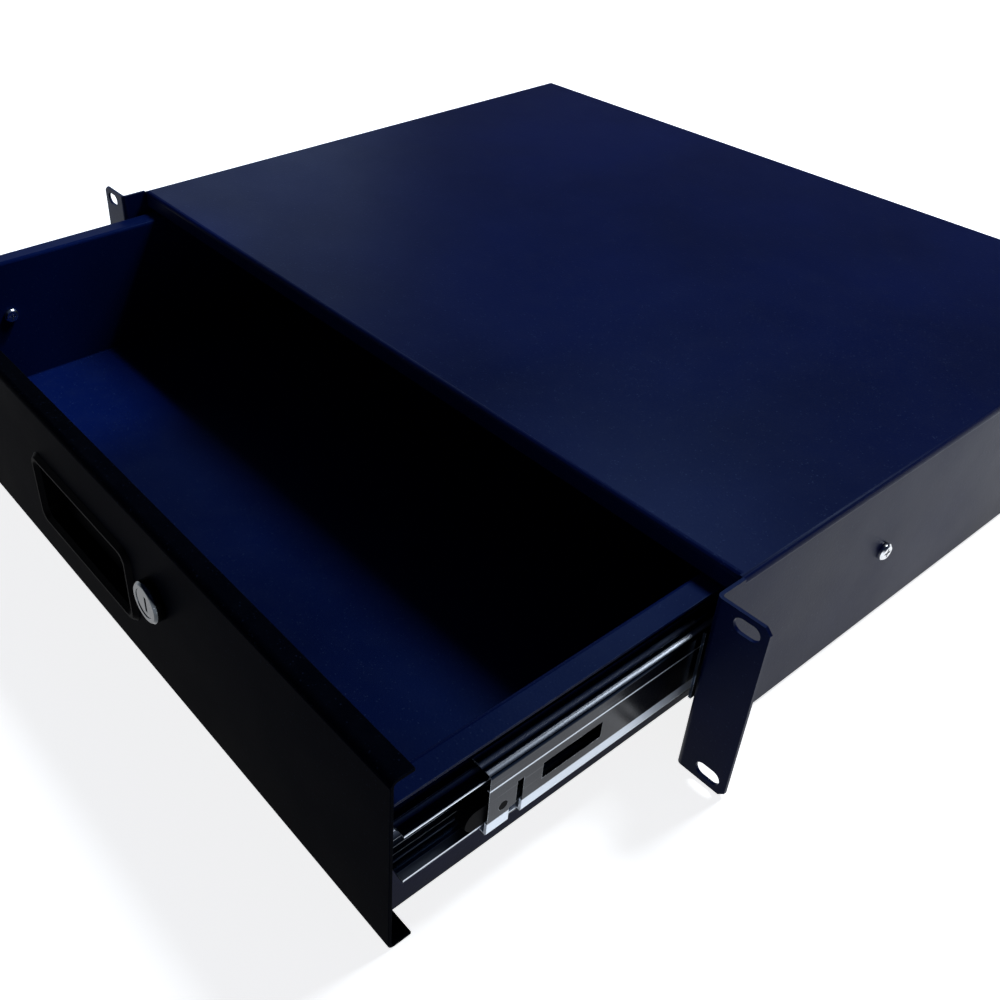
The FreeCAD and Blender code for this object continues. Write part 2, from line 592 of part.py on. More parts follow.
def pan_screw(seat, tip, y, outward):
    """Cross-recessed pan-head screw lying along X, its head on the seat plane."""
    away = seat + outward * SCREW_HEAD
    head = rod_x(SCREW_HEAD_RADIUS, min(seat, away), max(seat, away), y, SLIDE_Z)
    rim = [edge for edge in head.Edges if abs(edge.BoundBox.XMin - away) < EPS and edge.BoundBox.XLength < EPS]
    head = head.makeChamfer(SCREW_DOME, rim)
    shank = rod_x(SCREW_RADIUS, min(seat, tip), max(seat, tip), y, SLIDE_Z)
    screw = head.fuse(shank)
    bottom = away - outward * CROSS_DEPTH
    span = (min(away, bottom) - (0 if outward > 0 else EPS), max(away, bottom) + (EPS if outward > 0 else 0))
    for along, up in ((CROSS_LENGTH, CROSS_WIDTH), (CROSS_WIDTH, CROSS_LENGTH)):
        screw = screw.cut(block(*span, y - along / 2, y + along / 2, SLIDE_Z - up / 2, SLIDE_Z + up / 2))
    return screw


def spacer(y):
    start = INNER_WALL_X - SPACER_LENGTH
    ring = rod_x(SPACER_RADIUS, start, INNER_WALL_X, y, SLIDE_Z)
    return ring.cut(rod_x(SCREW_RADIUS + SCREW_PLAY, start - EPS, INNER_WALL_X + EPS, y, SLIDE_Z))


# ---- drawer ----
def drawer_tray():
    """Floor, walls and outward lips in one fold, with weld tabs behind the front panel."""
    edge = PANEL_WIDTH / 2
    under = LIP_TOP_Z - TRAY_SHEET
    path = [(-edge, under), (-WALL_X, under), (-WALL_X, FLOOR_UNDER_Z), (WALL_X, FLOOR_UNDER_Z),
            (WALL_X, under), (edge, under)]
    shape = folded(path, TRAY_SHEET, TRAY_BEND, 1, "xz", PANEL_BACK_Y, TRAY_BACK_Y)
    bend_clear = PANEL_BEND + EPS
    shape = shape.cut(block(-WALL_X - EPS, WALL_X + EPS, PANEL_BACK_Y - EPS, PANEL_BACK_Y + bend_clear,
                            FLOOR_UNDER_Z - EPS, FLOOR_UNDER_Z + bend_clear))
    low = FLOOR_UNDER_Z + WELD_TAB_MARGIN
    high = under - WELD_TAB_MARGIN
    seam = PANEL_BACK_Y + CORNER_RELIEF
    for sign in (-1, 1):
        inner = sign * (WALL_X - TRAY_SHEET - EPS)
        outer = sign * (WALL_X + EPS)
        shape = shape.cut(block(min(inner, outer), max(inner, outer), PANEL_BACK_Y - EPS, seam, low, high))
        tab = [(sign * WALL_X, seam), (sign * WALL_X, PANEL_BACK_Y), (sign * (WALL_X - WELD_TAB), PANEL_BACK_Y)]
        shape = shape.fuse(folded(tab, TRAY_SHEET, TRAY_BEND, -sign, "xy", low, high))
    holes = []
    for y in DRAWER_SCREW_Y:
        for x in (-WALL_X, WALL_X - TRAY_SHEET):
            holes.append(rod_x(SCREW_RADIUS + SCREW_PLAY, x - EPS, x + TRAY_SHEET + EPS, FACE_Y + y, SLIDE_Z))
    return shape.removeSplitter().cut(holes)


def lock_body(radius, half_flat, y0, y1):
    body = rod_y(radius, y0, y1, LOCK_X, LOCK_Z)
    return body.common(block(LOCK_X - half_flat, LOCK_X + half_flat, y0, y1, LOCK_Z - radius, LOCK_Z + radius))


def cup_block(inset, y0, y1):
    """Rounded block on the cup's axis, drawn in from the rim's outline by inset."""
    wire = rounded_rectangle(CUP_WIDTH - 2 * inset, CUP_HEIGHT - 2 * inset, CUP_CORNER - inset / 2,
                             CUP_X, CUP_Z)
    return prism(wire, "xz", y0, y1)


def bevelled(shape, level, size):
    """Bevel the whole outline of the face that lies at one level of Y."""
    rim = [edge for edge in shape.Edges
           if abs(edge.BoundBox.YMin - level) < EPS and abs(edge.BoundBox.YMax - level) < EPS]
    return shape.makeChamfer(size, rim)


def under_ramp(shape, inset, depth):
    """Keep what lies in front of the cup's back, which ramps forward towards the bottom."""
    low = CUP_Z - CUP_HEIGHT / 2 + inset
    high = low + CUP_HEIGHT
    front = FACE_Y - CUP_HEIGHT
    ramp = flat([(front, low - EPS), (FACE_Y + depth - CUP_RAMP_DEPTH, low - EPS),
                 (FACE_Y + depth, low + CUP_RAMP_RISE), (FACE_Y + depth, high), (front, high)])
    return shape.common(prism(outline(ramp, [0.0] * 5), "yz", CUP_X - CUP_WIDTH, CUP_X + CUP_WIDTH))


def front_panel():
    path = [(FACE_Y + PANEL_TOP_FLANGE, PANEL_TOP_Z), (FACE_Y, PANEL_TOP_Z), (FACE_Y, PANEL_BOTTOM_Z),
            (FACE_Y + PANEL_BOTTOM_FLANGE, PANEL_BOTTOM_Z)]
    shape = folded(path, PANEL_SHEET, PANEL_BEND, 1, "yz", -PANEL_WIDTH / 2, PANEL_WIDTH / 2)
    shape = shape.cut(cup_block(CUP_BODY_INSET - CUP_PLAY, FACE_Y - EPS, PANEL_BACK_Y + EPS))
    hole = lock_body(LOCK_BODY_RADIUS + LOCK_HOLE_PLAY, LOCK_BODY_HALF_FLAT + LOCK_HOLE_PLAY,
                     FACE_Y - EPS, PANEL_BACK_Y + EPS)
    return shape.cut(hole)


def handle_cup():
    """Snap-in finger cup with a raised bevelled rim and a ramped floor."""
    centre = CUP_Z
    crest_y = FACE_Y - CUP_PROUD
    rim = bevelled(cup_block(0.0, crest_y, FACE_Y), crest_y, CUP_SLOPE)
    body = under_ramp(cup_block(CUP_BODY_INSET, FACE_Y - EPS, FACE_Y + CUP_DEPTH), CUP_BODY_INSET, CUP_DEPTH)
    shape = rim.fuse(body).removeSplitter()
    inner = CUP_BODY_INSET + CUP_WALL
    mouth_inset = CUP_SLOPE + CUP_CREST
    mouth_end = crest_y + inner - mouth_inset
    mouth = bevelled(cup_block(mouth_inset, crest_y - 1, mouth_end), mouth_end, inner - mouth_inset + EPS)
    depth = CUP_DEPTH - CUP_WALL
    cavity = under_ramp(cup_block(inner, crest_y - 1, FACE_Y + depth), inner, depth)
    shape = shape.cut(cavity).cut(mouth)
    height = CUP_HEIGHT / 2 - CUP_BODY_INSET
    back = PANEL_BACK_Y + HOOK_PLAY
    for x in (CUP_X - HOOK_SPREAD, CUP_X + HOOK_SPREAD):
        for sign in (-1, 1):
            level = centre + sign * height
            barb = flat([(back, level - sign * EPS), (back, level + sign * HOOK_OUT),
                         (back + HOOK_RUN, level - sign * EPS)])
            shape = shape.fuse(prism(outline(barb, [0.0] * 3), "yz", x - HOOK_LENGTH / 2, x + HOOK_LENGTH / 2))
    return shape.removeSplitter()


# ---- cam lock ----
def lock_barrel():
    head = rod_y(LOCK_HEAD_RADIUS, LOCK_FRONT_Y, FACE_Y, LOCK_X, LOCK_Z)
    rim = [edge for edge in head.Edges
           if abs(edge.BoundBox.YMin - LOCK_FRONT_Y) < EPS and edge.BoundBox.YLength < EPS]
    head = head.makeChamfer(LOCK_HEAD_EDGE, rim)
    body = lock_body(LOCK_BODY_RADIUS, LOCK_BODY_HALF_FLAT, FACE_Y - EPS, CAM_Y - CAM_END_PLAY)
    shape = head.fuse(body).removeSplitter()
    shape = shape.cut(rod_y(PLUG_RADIUS + PLUG_PLAY, LOCK_FRONT_Y - EPS, CAM_Y, LOCK_X, LOCK_Z))
    return shape.cut(rod_y(PLUG_COLLAR_RADIUS + PLUG_PLAY, LOCK_FRONT_Y - EPS,
                           PLUG_FRONT_Y + PLUG_COLLAR + PLUG_PLAY, LOCK_X, LOCK_Z))


def lock_plug():
    collar = rod_y(PLUG_COLLAR_RADIUS, PLUG_FRONT_Y, PLUG_FRONT_Y + PLUG_COLLAR, LOCK_X, LOCK_Z)
    stem = rod_y(PLUG_RADIUS, PLUG_FRONT_Y, CAM_Y, LOCK_X, LOCK_Z)
    half = CAM_SQUARE / 2
    square = block(LOCK_X - half, LOCK_X + half, CAM_Y - EPS, CAM_Y + CAM_THICK, LOCK_Z - half, LOCK_Z + half)
    shape = collar.fuse([stem, square]).removeSplitter()
    slot_x = LOCK_X + KEYWAY_OFFSET
    shape = shape.cut(block(slot_x - KEYWAY_WIDTH / 2, slot_x + KEYWAY_WIDTH / 2, PLUG_FRONT_Y - EPS,
                            PLUG_FRONT_Y + KEYWAY_DEPTH, LOCK_Z - KEYWAY_HEIGHT / 2, LOCK_Z + KEYWAY_HEIGHT / 2))
    back = CAM_Y + CAM_THICK
    return shape.cut(rod_y(CAM_SCREW_RADIUS, back - CAM_SCREW_LENGTH, back + EPS, LOCK_X, LOCK_Z))


def lock_nut():
    radius = NUT_ACROSS_FLATS / math.sqrt(3)
    corners = []
    for index in range(6):
        angle = math.radians(60 * index)
        corners.append((LOCK_X + radius * math.cos(angle), LOCK_Z + radius * math.sin(angle)))
    shape = prism(outline(flat(corners), [0.0] * 6), "xz", PANEL_BACK_Y, PANEL_BACK_Y + NUT_THICK)
    return shape.cut(rod_y(LOCK_BODY_RADIUS, PANEL_BACK_Y - EPS, PANEL_BACK_Y + NUT_THICK + EPS, LOCK_X, LOCK_Z))


def lock_cam():
    """Flat cam pointing sideways while the lock is open."""
    tip_x = LOCK_X + CAM_REACH - CAM_TIP_RADIUS
    hub = rod_y(CAM_HUB_RADIUS, CAM_Y, CAM_Y + CAM_THICK, LOCK_X, LOCK_Z)
    tip = rod_y(CAM_TIP_RADIUS, CAM_Y, CAM_Y + CAM_THICK, tip_x, LOCK_Z)
    bar = block(LOCK_X, tip_x, CAM_Y, CAM_Y + CAM_THICK, LOCK_Z - CAM_TIP_RADIUS, LOCK_Z + CAM_TIP_RADIUS)
    shape = hub.fuse([tip, bar]).removeSplitter()
    half = CAM_SQUARE / 2
    return shape.cut(block(LOCK_X - half, LOCK_X + half, CAM_Y - EPS, CAM_Y + CAM_THICK + EPS,
                           LOCK_Z - half, LOCK_Z + half))


def cam_screw():
    seat = CAM_Y + CAM_THICK
    head = rod_y(CAM_SCREW_HEAD_RADIUS, seat, seat + CAM_SCREW_HEAD, LOCK_X, LOCK_Z)
    rim = [edge for edge in head.Edges
           if abs(edge.BoundBox.YMin - seat - CAM_SCREW_HEAD) < EPS and edge.BoundBox.YLength < EPS]
    head = head.makeChamfer(SCREW_DOME, rim)
    screw = head.fuse(rod_y(CAM_SCREW_RADIUS, seat - CAM_SCREW_LENGTH, seat + EPS, LOCK_X, LOCK_Z))
    top = seat + CAM_SCREW_HEAD
    for along, up in ((CROSS_LENGTH, CROSS_WIDTH), (CROSS_WIDTH, CROSS_LENGTH)):
        screw = screw.cut(block(LOCK_X - along / 2, LOCK_X + along / 2, top - CROSS_DEPTH, top + EPS,
                                LOCK_Z - up / 2, LOCK_Z + up / 2))
    return screw.removeSplitter()


os.makedirs("parts", exist_ok=True)

save("chassis_shell", chassis_shell())
save("rear_panel", folded_end(INNER_WALL_X, BOTTOM_Z + CHASSIS_SHEET, TOP_Z - CHASSIS_SHEET, CHASSIS_DEPTH,
                              REAR_FLANGE + CHASSIS_SHEET, CHASSIS_SHEET, CHASSIS_BEND))
save_pair("cabinet_member", cabinet_member())
spacers = [spacer(y) for y in CHASSIS_SCREW_Y]
save("spacer_bushes", *spacers, *[mirrored(ring) for ring in spacers])
screw_tip = WALL_X + CABINET_WEB_IN + SCREW_TIP_GAP
side_screws = [pan_screw(HALF_WIDTH, screw_tip, y, 1) for y in CHASSIS_SCREW_Y]
save("chassis_screws", *side_screws, *[mirrored(screw) for screw in side_screws])
save("rear_bumpers", rear_bumper(), mirrored(rear_bumper()))

save_pair("outer_cage", cage(OUTER_CAGE_TIP, OUTER_CAGE_BACK, OUTER_RACE_V, OUTER_CAGE_SHEET, OUTER_RACE_U,
                             OUTER_CAGE_Y, OUTER_CAGE_LENGTH))
save_pair("outer_balls", balls(OUTER_RACE_U, OUTER_RACE_V, OUTER_CAGE_Y, OUTER_CAGE_LENGTH))
save_pair("middle_member", middle_member())
save_pair("front_bumper", front_bumper())
save_pair("inner_cage", cage(INNER_CAGE_TIP, INNER_CAGE_BACK, INNER_RACE_V, INNER_CAGE_SHEET, INNER_RACE_U,
                             INNER_CAGE_Y, INNER_CAGE_LENGTH))
save_pair("inner_balls", balls(INNER_RACE_U, INNER_RACE_V, INNER_CAGE_Y, INNER_CAGE_LENGTH))

save_pair("drawer_member", drawer_member())
save_pair("release_lever", release_lever())
save("lever_rivets", lever_rivet(), mirrored(lever_rivet()))
wall_tip = WALL_X + SLIDE_SHEET - SCREW_TIP_GAP
wall_screws = [pan_screw(WALL_X - TRAY_SHEET, wall_tip, FACE_Y + y, -1) for y in DRAWER_SCREW_Y]
save("drawer_screws", *wall_screws, *[mirrored(screw) for screw in wall_screws])
save("drawer_tray", drawer_tray())
save("drawer_back", folded_end(WALL_X - TRAY_SHEET, FLOOR_UNDER_Z + TRAY_SHEET, LIP_TOP_Z, TRAY_BACK_Y,
                               BACK_FLANGE + TRAY_SHEET, TRAY_SHEET, TRAY_BEND))
save("front_panel", front_panel())
save("handle_cup", handle_cup())
save("lock_barrel", lock_barrel())
save("lock_nut", lock_nut())
save("lock_plug", lock_plug())
save("lock_cam", lock_cam())
save("cam_screw", cam_screw())
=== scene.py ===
"""Looks of the sliding rack drawer: finishes, softened edges, light and camera."""

import logging
import math
from dataclasses import dataclass, field
from enum import Enum

import bpy
from mathutils import Matrix, Vector


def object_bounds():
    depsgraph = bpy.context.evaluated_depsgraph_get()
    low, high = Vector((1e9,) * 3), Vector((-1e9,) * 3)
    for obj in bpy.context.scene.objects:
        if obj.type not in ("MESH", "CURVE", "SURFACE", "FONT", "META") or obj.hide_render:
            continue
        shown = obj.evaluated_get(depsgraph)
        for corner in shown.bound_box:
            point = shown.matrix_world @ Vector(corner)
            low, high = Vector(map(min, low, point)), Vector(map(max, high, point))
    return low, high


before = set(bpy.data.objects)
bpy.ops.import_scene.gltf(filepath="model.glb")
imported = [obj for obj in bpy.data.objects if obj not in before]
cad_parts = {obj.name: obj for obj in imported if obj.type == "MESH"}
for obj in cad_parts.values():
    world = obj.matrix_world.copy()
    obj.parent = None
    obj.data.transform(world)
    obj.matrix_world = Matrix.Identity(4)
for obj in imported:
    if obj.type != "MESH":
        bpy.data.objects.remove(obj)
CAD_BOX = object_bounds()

log = logging.getLogger("rack_drawer")

MM = 0.001
Colour = tuple[float, float, float]
Place = tuple[float, float, float]
Band = tuple[float, float]
Socket = bpy.types.NodeSocket

WHITE: Colour = (1.0, 1.0, 1.0)

# Bands of painted highlight on the slide members, bright strips where bends and races catch the light,
# as heights in millimetres above the middle of the ear slots.
MIDDLE_MEMBER_HIGHLIGHT_BANDS: tuple[Band, ...] = ((-13.9, -7.4), (8.8, 10.0), (16.6, 17.9))
DRAWER_MEMBER_HIGHLIGHT_BANDS: tuple[Band, ...] = (
    (-10.6, -9.5), (-7.4, -6.6), (-3.3, -2.6), (0.4, 1.0), (5.4, 6.1), (9.4, 10.2), (12.3, 13.5))


class Side(Enum):
    """The two sides of the drawer, as seen from its front."""

    LEFT = "left"
    RIGHT = "right"


class Lay(Enum):
    """The direction in which a metal was rolled or drawn, as the stretch of its lines in X, Y and Z."""

    ALONG_X = (0.03, 1.0, 1.0)
    ALONG_Y = (1.0, 0.03, 1.0)
    NONE = (1.0, 1.0, 1.0)


# ---------------------------------------------------------------- node trees


class NodeSheet:
    """A thin wrapper that adds and joins the nodes of one tree."""

    def __init__(self, tree: bpy.types.NodeTree) -> None:
        """Takes a tree to fill.

        Args:
            tree: the node tree.
        """
        self.tree = tree

    def add(self, kind: str, **settings: object) -> bpy.types.Node:
        """Adds a node.

        Args:
            kind: the node's type name.
            settings: attributes to set on it.

        Returns:
            The new node.
        """
        node = self.tree.nodes.new(kind)
        for name, value in settings.items():
            setattr(node, name, value)
        return node

    def join(self, source: Socket, target: Socket) -> None:
        """Links an output to an input."""
        self.tree.links.new(source, target)

    def put(self, target: Socket, value: "Socket | float | tuple[float, ...]") -> None:
        """Links a socket to an input, or sets the input's own value.

        Args:
            target: the input.
            value: an output socket, a number or a vector.
        """
        if isinstance(value, bpy.types.NodeSocket):
            self.join(value, target)
        else:
            target.default_value = value

    def math(self, kind: str, first: "Socket | float", second: "Socket | float") -> Socket:
        """Adds a math node.

        Args:
            kind: the operation.
            first: its first operand.
            second: its second operand.

        Returns:
            The result's socket.
        """
        node = self.add("ShaderNodeMath", operation=kind)
        self.put(node.inputs[0], first)
        self.put(node.inputs[1], second)
        return node.outputs[0]

    def span(self, value: Socket, low: float, high: float) -> Socket:
        """Maps low..high onto 0..1 and holds it there.

        Args:
            value: what is mapped.
            low: the value that gives 0.
            high: the value that gives 1.

        Returns:
            The result's socket.
        """
        node = self.add("ShaderNodeMapRange", clamp=True)
        self.put(node.inputs["Value"], value)
        node.inputs["From Min"].default_value = low
        node.inputs["From Max"].default_value = high
        return node.outputs["Result"]

    def noise(self, where: Socket, scale: "Socket | float", detail: float,
              roughness: float = 0.5) -> Socket:
        """Adds a noise texture.

        Args:
            where: the coordinate.
            scale: its scale.
            detail: its octaves.
            roughness: the weight of the finer octaves.

        Returns:
            Its value.
        """
        node = self.add("ShaderNodeTexNoise")
        self.join(where, node.inputs["Vector"])
        self.put(node.inputs["Scale"], scale)
        node.inputs["Detail"].default_value = detail
        node.inputs["Roughness"].default_value = roughness
        return node.outputs["Fac"]

    def blend(self, amount: Socket, low: "Socket | Colour", high: "Socket | Colour") -> Socket:
        """Mixes two colours.

        Args:
            amount: 0 gives low and 1 gives high.
            low: the first colour.
            high: the second colour.

        Returns:
            The colour's socket.
        """
        node = self.add("ShaderNodeMix", data_type="RGBA")
        factor, first, second = node.inputs[0], node.inputs[6], node.inputs[7]
        self.put(factor, amount)
        for target, value in ((first, low), (second, high)):
            self.put(target, value if isinstance(value, bpy.types.NodeSocket) else (*value, 1.0))
        return node.outputs[2]


class EffectGroup:
    """A node group with named inputs and outputs that several finishes share."""

    def __init__(self, name: str, inputs: dict[str, float], outputs: tuple[str, ...]) -> None:
        """Makes an empty group.

        Args:
            name: the group's name.
            inputs: its inputs with their usual values.
            outputs: its outputs, all plain values.
        """
        self.tree = bpy.data.node_groups.new(name, "ShaderNodeTree")
        for label, usual in inputs.items():
            socket = self.tree.interface.new_socket(label, in_out="INPUT", socket_type="NodeSocketFloat")
            socket.default_value = usual
        for label in outputs:
            self.tree.interface.new_socket(label, in_out="OUTPUT", socket_type="NodeSocketFloat")
        self.sheet = NodeSheet(self.tree)
        self.inside = self.sheet.add("NodeGroupInput").outputs
        self.result = self.sheet.add("NodeGroupOutput").inputs

    def where(self) -> Socket:
        """The place on the piece, in metres."""
        return self.sheet.add("ShaderNodeTexCoord").outputs["Object"]

    def give(self, mask: Socket, label: str, weight: str) -> None:
        """Sends a mask out, weighed by one of the group's inputs.

        Args:
            mask: the mask.
            label: the output.
            weight: the input that weighs it.
        """
        self.sheet.join(self.sheet.math("MULTIPLY", mask, self.inside[weight]), self.result[label])


# ---------------------------------------------------------------- shared effects


@dataclass(frozen=True)
class PowderGrain:
    """Fine pebbled skin of baked powder paint, with pale flecks and a slow change of shade."""

    fine_weight: float = 0.6
    pebble_weight: float = 0.7
    pebble_softness: float = 0.6
    fleck_spacing: float = 0.85
    fleck_rim: float = 0.32
    fleck_core: float = 0.18
    patch_scale: float = 420.0
    patch_from: float = 0.52
    patch_to: float = 0.64
    shade_scale: float = 9.0
    shade_from: float = 0.35
    shade_to: float = 0.65

    def build(self) -> bpy.types.NodeTree:
        """Builds the group.

        Returns:
            A group that gives the skin's height, its flecks and its shade.
        """
        usual = {"Scale": 900.0, "Flecks": 0.5}
        group = EffectGroup("powder_grain", usual, ("Height", "Fleck", "Shade"))
        sheet = group.sheet
        where = group.where()
        scale = group.inside["Scale"]
        fine = sheet.noise(where, scale, detail=3.0, roughness=0.6)
        cells = sheet.add("ShaderNodeTexVoronoi", feature="SMOOTH_F1")
        sheet.join(where, cells.inputs["Vector"])
        sheet.join(scale, cells.inputs["Scale"])
        cells.inputs["Smoothness"].default_value = self.pebble_softness
        pebble = sheet.math("SUBTRACT", 1.0, cells.outputs["Distance"])
        fine = sheet.math("MULTIPLY", fine, self.fine_weight)
        pebble = sheet.math("MULTIPLY", pebble, self.pebble_weight)
        sheet.join(sheet.math("ADD", fine, pebble), group.result["Height"])
        spots = sheet.add("ShaderNodeTexVoronoi", feature="F1")
        sheet.join(where, spots.inputs["Vector"])
        sheet.join(sheet.math("MULTIPLY", scale, self.fleck_spacing), spots.inputs["Scale"])
        dot = sheet.span(spots.outputs["Distance"], self.fleck_rim, self.fleck_core)
        patch = sheet.noise(where, self.patch_scale, detail=2.0, roughness=0.7)
        patch = sheet.span(patch, self.patch_from, self.patch_to)
        group.give(sheet.math("MULTIPLY", patch, dot), "Fleck", "Flecks")
        slow = sheet.noise(where, self.shade_scale, detail=3.0)
        sheet.join(sheet.span(slow, self.shade_from, self.shade_to), group.result["Shade"])
        return group.tree


@dataclass(frozen=True)
class WornEdges:
    """Rubbed rims where hands and rails have polished an edge; in the tray's finish the same mask
    carries a painted highlight along bends and lips.
    """

    flat_match: float = 0.98
    full_wear_match: float = 0.80
    patch_scale: float = 130.0
    patch_from: float = 0.40
    patch_to: float = 0.62

    def build(self) -> bpy.types.NodeTree:
        """Builds the group.

        Returns:
            A group that gives a mask of the rubbed rims.
        """
        group = EffectGroup("worn_edges", {"Radius": 0.6 * MM, "Amount": 0.5}, ("Mask",))
        sheet = group.sheet
        rounded = sheet.add("ShaderNodeBevel", samples=4)
        sheet.join(group.inside["Radius"], rounded.inputs["Radius"])
        flat = sheet.add("ShaderNodeNewGeometry").outputs["Normal"]
        match = sheet.add("ShaderNodeVectorMath", operation="DOT_PRODUCT")
        sheet.join(rounded.outputs["Normal"], match.inputs[0])
        sheet.join(flat, match.inputs[1])
        rim = sheet.span(match.outputs["Value"], self.flat_match, self.full_wear_match)
        patch = sheet.noise(group.where(), self.patch_scale, detail=4.0, roughness=0.65)
        patch = sheet.span(patch, self.patch_from, self.patch_to)
        group.give(sheet.math("MULTIPLY", rim, patch), "Mask", "Amount")
        return group.tree


@dataclass(frozen=True)
class SettledDust:
    """Thin dust that lies on what faces up."""

    tilt_from: float = 0.5
    tilt_to: float = 0.95
    cloud_from: float = 0.45
    cloud_to: float = 0.75

    def build(self) -> bpy.types.NodeTree:
        """Builds the group.

        Returns:
            A group that gives a mask of the dust.
        """
        group = EffectGroup("settled_dust", {"Amount": 0.3, "Scale": 60.0}, ("Mask",))
        sheet = group.sheet
        upward = sheet.add("ShaderNodeSeparateXYZ")
        sheet.join(sheet.add("ShaderNodeNewGeometry").outputs["Normal"], upward.inputs[0])
        facing = sheet.span(upward.outputs["Z"], self.tilt_from, self.tilt_to)
        cloud = sheet.noise(group.where(), group.inside["Scale"], detail=6.0, roughness=0.7)
        cloud = sheet.span(cloud, self.cloud_from, self.cloud_to)
        group.give(sheet.math("MULTIPLY", facing, cloud), "Mask", "Amount")
        return group.tree


@dataclass(frozen=True)
class DrawnGrain:
    """Lines that rolling or drawing leaves in metal, with the odd longer scratch."""

    scratch_spacing: float = 0.3
    scratch_from: float = 0.66
    scratch_to: float = 0.72

    def build(self) -> bpy.types.NodeTree:
        """Builds the group.

        Returns:
            A group that gives the lines' height and a mask of the scratches.
        """
        stretches = ("Along X", "Along Y", "Along Z")
        inputs = {**dict.fromkeys(stretches, 1.0), "Scale": 2500.0}
        group = EffectGroup("drawn_grain", inputs, ("Height", "Scratch"))
        sheet = group.sheet
        stretch = sheet.add("ShaderNodeCombineXYZ")
        for index, label in enumerate(stretches):
            sheet.join(group.inside[label], stretch.inputs[index])
        scaled = sheet.add("ShaderNodeVectorMath", operation="MULTIPLY")
        sheet.join(group.where(), scaled.inputs[0])
        sheet.join(stretch.outputs[0], scaled.inputs[1])
        where = scaled.outputs[0]
        scale = group.inside["Scale"]
        sheet.join(sheet.noise(where, scale, detail=3.0, roughness=0.6), group.result["Height"])
        wide = sheet.math("MULTIPLY", scale, self.scratch_spacing)
        long_lines = sheet.noise(where, wide, detail=2.0)
        sheet.join(sheet.span(long_lines, self.scratch_from, self.scratch_to), group.result["Scratch"])
        return group.tree


@dataclass(frozen=True)
class HandlingSmudges:
    """Soft patches of a duller or glossier surface."""

    middle: float = 0.5

    def build(self) -> bpy.types.NodeTree:
        """Builds the group.

        Returns:
            A group that gives a change of roughness about zero.
        """
        group = EffectGroup("handling_smudges", {"Scale": 25.0, "Amount": 0.1}, ("Change",))
        sheet = group.sheet
        cloud = sheet.noise(group.where(), group.inside["Scale"], detail=5.0, roughness=0.6)
        group.give(sheet.math("SUBTRACT", cloud, self.middle), "Change", "Amount")
        return group.tree


@dataclass(frozen=True)
class PaintedHighlightBand:
    """Lengthwise band of painted highlight, a bright streaked strip where a bend or race of a slide
    member catches the light.
    """

    streak_scale: float = 160.0
    streak_from: float = 0.05
    streak_to: float = 0.28

    def build(self) -> bpy.types.NodeTree:
        """Builds the group.

        Returns:
            A group that gives a mask of the band between two heights.
        """
        usual = {"Low": 0.0, "High": 1.0 * MM, "Soft": 0.5 * MM}
        group = EffectGroup("painted_highlight_band", usual, ("Mask",))
        sheet = group.sheet
        place = sheet.add("ShaderNodeSeparateXYZ")
        sheet.join(group.where(), place.inputs[0])
        height = place.outputs["Z"]
        soft = group.inside["Soft"]
        above = sheet.math("DIVIDE", sheet.math("SUBTRACT", height, group.inside["Low"]), soft)
        below = sheet.math("DIVIDE", sheet.math("SUBTRACT", group.inside["High"], height), soft)
        nearer = sheet.math("MINIMUM", above, below)
        inside = sheet.math("MAXIMUM", sheet.math("MINIMUM", nearer, 1.0), 0.0)
        streaks = sheet.noise(group.where(), self.streak_scale, detail=4.0, roughness=0.6)
        streaks = sheet.span(streaks, self.streak_from, self.streak_to)
        sheet.join(sheet.math("MULTIPLY", inside, streaks), group.result["Mask"])
        return group.tree


@dataclass(frozen=True)
class Effects:
    """The shared effects, each built once."""

    grain: bpy.types.NodeTree = field(default_factory=PowderGrain().build)
    wear: bpy.types.NodeTree = field(default_factory=WornEdges().build)
    dust: bpy.types.NodeTree = field(default_factory=SettledDust().build)
    drawn: bpy.types.NodeTree = field(default_factory=DrawnGrain().build)
    smudge: bpy.types.NodeTree = field(default_factory=HandlingSmudges().build)
    highlight_band: bpy.types.NodeTree = field(default_factory=PaintedHighlightBand().build)


# ---------------------------------------------------------------- finishes


class FinishSheet(NodeSheet):
    """The node tree of one material, with its Principled shader."""

    def __init__(self, name: str) -> None:
        """Makes a new material.

        Args:
            name: the material's name.
        """
        self.material = bpy.data.materials.new(name)
        self.material.use_nodes = True
        super().__init__(self.material.node_tree)
        self.shader = self.tree.nodes["Principled BSDF"]

    def effect(self, tree: bpy.types.NodeTree, **values: float) -> bpy.types.NodeOutputs:
        """Places a shared effect.

        Args:
            tree: the effect's group.
            values: this material's own values, with _ for a space in a name.

        Returns:
            The effect's outputs.
        """
        node = self.add("ShaderNodeGroup", node_tree=tree)
        for name, value in values.items():
            node.inputs[name.replace("_", " ")].default_value = value
        return node.outputs

    def feed(self, name: str, source: Socket) -> None:
        """Links a socket to one of the shader's inputs."""
        self.join(source, self.shader.inputs[name])

    def bump(self, height: Socket, depth: float) -> None:
        """Feeds a height to the shader's normal.

        Args:
            height: the height.
            depth: its depth in metres.
        """
        node = self.add("ShaderNodeBump")
        node.inputs["Strength"].default_value = 1.0
        node.inputs["Distance"].default_value = depth
        self.join(height, node.inputs["Height"])
        self.feed("Normal", node.outputs["Normal"])

    def fix(self, **values: "float | tuple[float, ...]") -> None:
        """Sets plain values on the shader's own sockets, with _ for a space in a name."""
        for name, value in values.items():
            self.shader.inputs[name.replace("_", " ")].default_value = value


